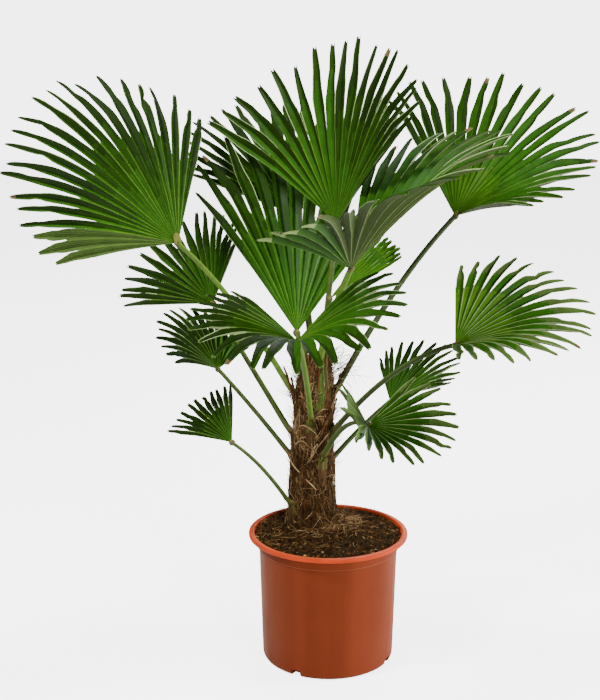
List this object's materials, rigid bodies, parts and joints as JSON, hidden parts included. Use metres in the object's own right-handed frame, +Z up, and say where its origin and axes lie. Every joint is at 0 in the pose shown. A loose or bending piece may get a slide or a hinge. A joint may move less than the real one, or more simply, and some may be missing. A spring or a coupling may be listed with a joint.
{
  "type": "potted wagner windmill palm",
  "caption": "Young windmill palm with stiff pleated fan leaves on slender stalks and a short fibrous trunk, standing in a round plastic nursery pot of soil.",
  "frame": {"origin": "centre of the pot's flat underside", "axes": "+Z up along the pot's axis, -Y towards the side the picture shows"},
  "size_m": [0.9108, 0.7604, 1.0029],
  "materials": {
    "pot_plastic": "satin terracotta-coloured plastic",
    "potting_soil": "moist peat-based potting soil, rough",
    "trunk_fibre": "matted brown leaf-sheath fibre",
    "leaf_stalk": "smooth green leaf stalk",
    "leaf_blade": "stiff pleated leaf, slightly glossy above and duller below"
  },
  "bodies": {
    "root": {"pot": "pot_plastic", "soil": "potting_soil", "trunk": "trunk_fibre", "stalk_01": "leaf_stalk", "stalk_02": "leaf_stalk", "stalk_03": "leaf_stalk", "stalk_04": "leaf_stalk", "stalk_05": "leaf_stalk", "stalk_06": "leaf_stalk", "stalk_07": "leaf_stalk", "stalk_08": "leaf_stalk", "stalk_09": "leaf_stalk", "stalk_10": "leaf_stalk", "stalk_11": "leaf_stalk", "stalk_12": "leaf_stalk", "stalk_13": "leaf_stalk", "stalk_14": "leaf_stalk", "blade_01": "leaf_blade", "blade_02": "leaf_blade", "blade_03": "leaf_blade", "blade_04": "leaf_blade", "blade_05": "leaf_blade", "blade_06": "leaf_blade", "blade_07": "leaf_blade", "blade_08": "leaf_blade", "blade_09": "leaf_blade", "blade_10": "leaf_blade", "blade_11": "leaf_blade", "blade_12": "leaf_blade", "blade_13": "leaf_blade", "blade_14": "leaf_blade"}
  },
  "joints": []
}
